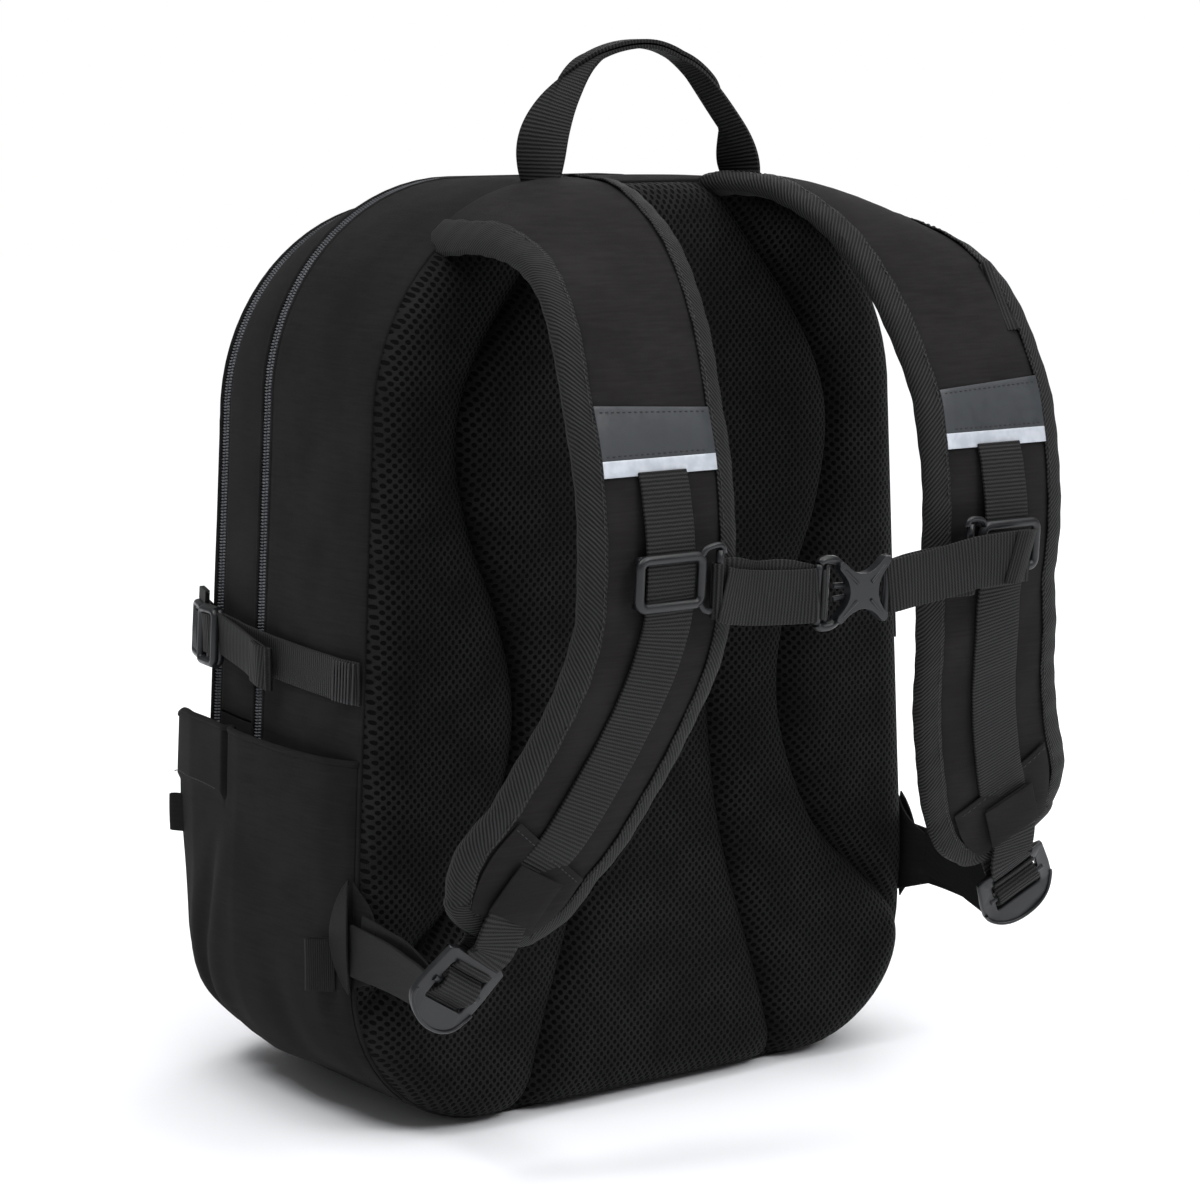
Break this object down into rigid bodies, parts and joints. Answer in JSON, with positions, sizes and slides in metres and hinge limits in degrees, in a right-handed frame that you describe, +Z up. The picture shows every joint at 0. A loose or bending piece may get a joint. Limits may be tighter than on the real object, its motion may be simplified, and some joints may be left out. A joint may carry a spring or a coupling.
{
  "type": "school backpack",
  "caption": "School backpack with two zipped compartments, front and side pockets, padded back, curved shoulder straps with chest strap, side compression straps and grab handle.",
  "frame": {"origin": "on the floor under the middle of the bag's base, where the bag stands", "axes": "+Z up; +Y out of the front pocket, so the wearer's back is on the -Y side; +X to the wearer's right"},
  "size_m": [0.379, 0.3597, 0.5072],
  "materials": {
    "cloth": "fine plain weave, matte",
    "lining": "thin plain weave",
    "mesh": "open spacer mesh over foam",
    "webbing": "ribbed or twill woven tape",
    "buckle_plastic": "moulded, satin",
    "patch_film": "thin rubbery film, matte",
    "reflector": "retroreflective tape, silver",
    "coil_nylon": "woven coil, glossy",
    "slider_metal": "dark plated",
    "board": "stiff sheet"
  },
  "bodies": {
    "bag_body": {"rear_shell": "cloth", "main_lining": "lining", "back_board": "board", "base_board": "board", "laptop_sleeve": "lining", "lower_divider": "lining", "back_pad_side_left": "mesh", "back_pad_side_right": "mesh", "back_pad_mid_left": "mesh", "back_pad_mid_right": "mesh", "back_pad_centre": "mesh", "side_pocket_left": "cloth", "side_pocket_right": "cloth", "compression_strap_left": "webbing", "compression_strap_right": "webbing", "strap_roots": "cloth", "strap_wings": "cloth", "fabric_tabs": "webbing", "front_pocket": "cloth", "zip_coils_bag": "coil_nylon"},
    "main_section": {"main_lid": "cloth", "main_lid_divider": "lining", "main_coil_lid": "coil_nylon", "front_coil_lid": "coil_nylon"},
    "front_section": {"front_panel": "cloth", "front_coil_panel": "coil_nylon", "side_buckle_sockets": "buckle_plastic"},
    "grab_handle": {"grab_handle": "webbing"},
    "strap_left": {"shoulder_pad_left": "cloth", "strap_binding_left": "webbing", "strap_webbing_left": "webbing", "strap_patch_left": "patch_film", "strap_reflector_left": "reflector", "strap_tail_left": "webbing"},
    "strap_right": {"shoulder_pad_right": "cloth", "strap_binding_right": "webbing", "strap_webbing_right": "webbing", "strap_patch_right": "patch_film", "strap_reflector_right": "reflector", "strap_tail_right": "webbing"},
    "ladder_lock_left": {"ladder_lock_left": "buckle_plastic"},
    "ladder_lock_right": {"ladder_lock_right": "buckle_plastic"},
    "chest_strap_left": {"chest_slider_left": "buckle_plastic", "chest_webbing_left": "webbing", "chest_socket": "buckle_plastic"},
    "chest_slider_right": {"chest_slider_right": "buckle_plastic"},
    "chest_strap_right": {"chest_webbing_right": "webbing", "chest_latch": "buckle_plastic"},
    "side_buckle_left": {"side_buckle_left": "buckle_plastic"},
    "side_buckle_right": {"side_buckle_right": "buckle_plastic"},
    "main_slider_side": {"main_slider_side": "slider_metal"},
    "main_slider_arch": {"main_slider_arch": "slider_metal"},
    "front_slider_side": {"front_slider_side": "slider_metal"},
    "front_slider_arch": {"front_slider_arch": "slider_metal"},
    "pocket_slider": {"pocket_slider": "slider_metal"},
    "main_pull_side": {"main_pull_side": "webbing"},
    "main_pull_arch": {"main_pull_arch": "webbing"},
    "front_pull_side": {"front_pull_side": "webbing"},
    "front_pull_arch": {"front_pull_arch": "webbing"},
    "pocket_pull": {"pocket_pull": "webbing"}
  },
  "joints": [
    {"name": "main_section_open", "type": "hinge", "parent": "bag_body", "child": "main_section", "pos_m": [0, 0.0886, 0.182], "axis": [-1, 0, 0], "range_deg": [0, 50]},
    {"name": "front_section_open", "type": "hinge", "parent": "main_section", "child": "front_section", "pos_m": [0, 0.0886, 0.182], "axis": [-1, 0, 0], "range_deg": [0, 35]},
    {"name": "handle_swing", "type": "hinge", "parent": "bag_body", "child": "grab_handle", "pos_m": [0, -0.091, 0.4455], "axis": [1, 0, 0], "range_deg": [-55, 55]},
    {"name": "strap_swing_left", "type": "hinge", "parent": "bag_body", "child": "strap_left", "pos_m": [-0.08, -0.092, 0.437], "axis": [-0.2418, -0.0114, -0.9702], "range_deg": [0, 50]},
    {"name": "strap_swing_right", "type": "hinge", "parent": "bag_body", "child": "strap_right", "pos_m": [0.08, -0.092, 0.437], "axis": [-0.2418, 0.0114, 0.9702], "range_deg": [0, 50]},
    {"name": "ladder_lock_tilt_left", "type": "hinge", "parent": "strap_left", "child": "ladder_lock_left", "pos_m": [-0.159, -0.18, 0.099], "axis": [-0.8338, -0.2284, 0.5026], "range_deg": [0, 40]},
    {"name": "ladder_lock_tilt_right", "type": "hinge", "parent": "strap_right", "child": "ladder_lock_right", "pos_m": [0.159, -0.18, 0.099], "axis": [-0.8338, 0.2284, -0.5026], "range_deg": [0, 40]},
    {"name": "chest_strap_height_left", "type": "hinge", "parent": "strap_left", "child": "chest_strap_left", "pos_m": [0, -0.05, 0.288], "axis": [-1, 0, 0], "range_deg": [-2, 6]},
    {"name": "chest_strap_height_right", "type": "hinge", "parent": "strap_right", "child": "chest_slider_right", "pos_m": [0, -0.05, 0.288], "axis": [-1, 0, 0], "range_deg": [-2, 6]},
    {"name": "chest_buckle_release", "type": "slide", "parent": "chest_slider_right", "child": "chest_strap_right", "axis": [1, 0, 0], "range_m": [0, 0.03]},
    {"name": "side_buckle_release_left", "type": "slide", "parent": "bag_body", "child": "side_buckle_left", "axis": [0, -1, 0], "range_m": [0, 0.012]},
    {"name": "side_buckle_release_right", "type": "slide", "parent": "bag_body", "child": "side_buckle_right", "axis": [0, -1, 0], "range_m": [0, 0.012]},
    {"name": "main_zip_travel_side", "type": "slide", "parent": "bag_body", "child": "main_slider_side", "axis": [-0.0536, 0, 0.9986], "range_m": [-0.055, 0.025]},
    {"name": "main_zip_travel_arch", "type": "hinge", "parent": "bag_body", "child": "main_slider_arch", "pos_m": [0.044, 0.004, 0.333], "axis": [0, -1, 0], "range_deg": [-16, 55]},
    {"name": "front_zip_travel_side", "type": "slide", "parent": "main_section", "child": "front_slider_side", "axis": [-0.0597, 0, 0.9982], "range_m": [-0.08, 0.025]},
    {"name": "front_zip_travel_arch", "type": "hinge", "parent": "main_section", "child": "front_slider_arch", "pos_m": [0.042, 0.054, 0.324], "axis": [0, -1, 0], "range_deg": [-10, 48]},
    {"name": "pocket_zip_travel", "type": "slide", "parent": "bag_body", "child": "pocket_slider", "axis": [1, 0, 0], "range_m": [-0.11, 0.005]},
    {"name": "main_pull_side_swing", "type": "hinge", "parent": "main_slider_side", "child": "main_pull_side", "pos_m": [0.15539, 0.004, 0.30069], "axis": [0, -1, 0], "range_deg": [0, 140]},
    {"name": "main_pull_arch_swing", "type": "hinge", "parent": "main_slider_arch", "child": "main_pull_arch", "pos_m": [0.13462, 0.004, 0.39473], "axis": [0, -1, 0], "range_deg": [0, 140]},
    {"name": "front_pull_side_swing", "type": "hinge", "parent": "front_slider_side", "child": "front_pull_side", "pos_m": [0.14965, 0.054, 0.29072], "axis": [0, -1, 0], "range_deg": [0, 140]},
    {"name": "front_pull_arch_swing", "type": "hinge", "parent": "front_slider_arch", "child": "front_pull_arch", "pos_m": [0.13674, 0.054, 0.37076], "axis": [0, -1, 0], "range_deg": [0, 140]},
    {"name": "pocket_pull_swing", "type": "hinge", "parent": "pocket_slider", "child": "pocket_pull", "pos_m": [0.0705, 0.10735, 0.15], "axis": [0, 0, -1], "range_deg": [0, 140]}
  ],
  "couplings": [
    {"joint": "strap_swing_right", "follows": "strap_swing_left", "ratio": 1},
    {"joint": "chest_strap_height_right", "follows": "chest_strap_height_left", "ratio": 1}
  ]
}
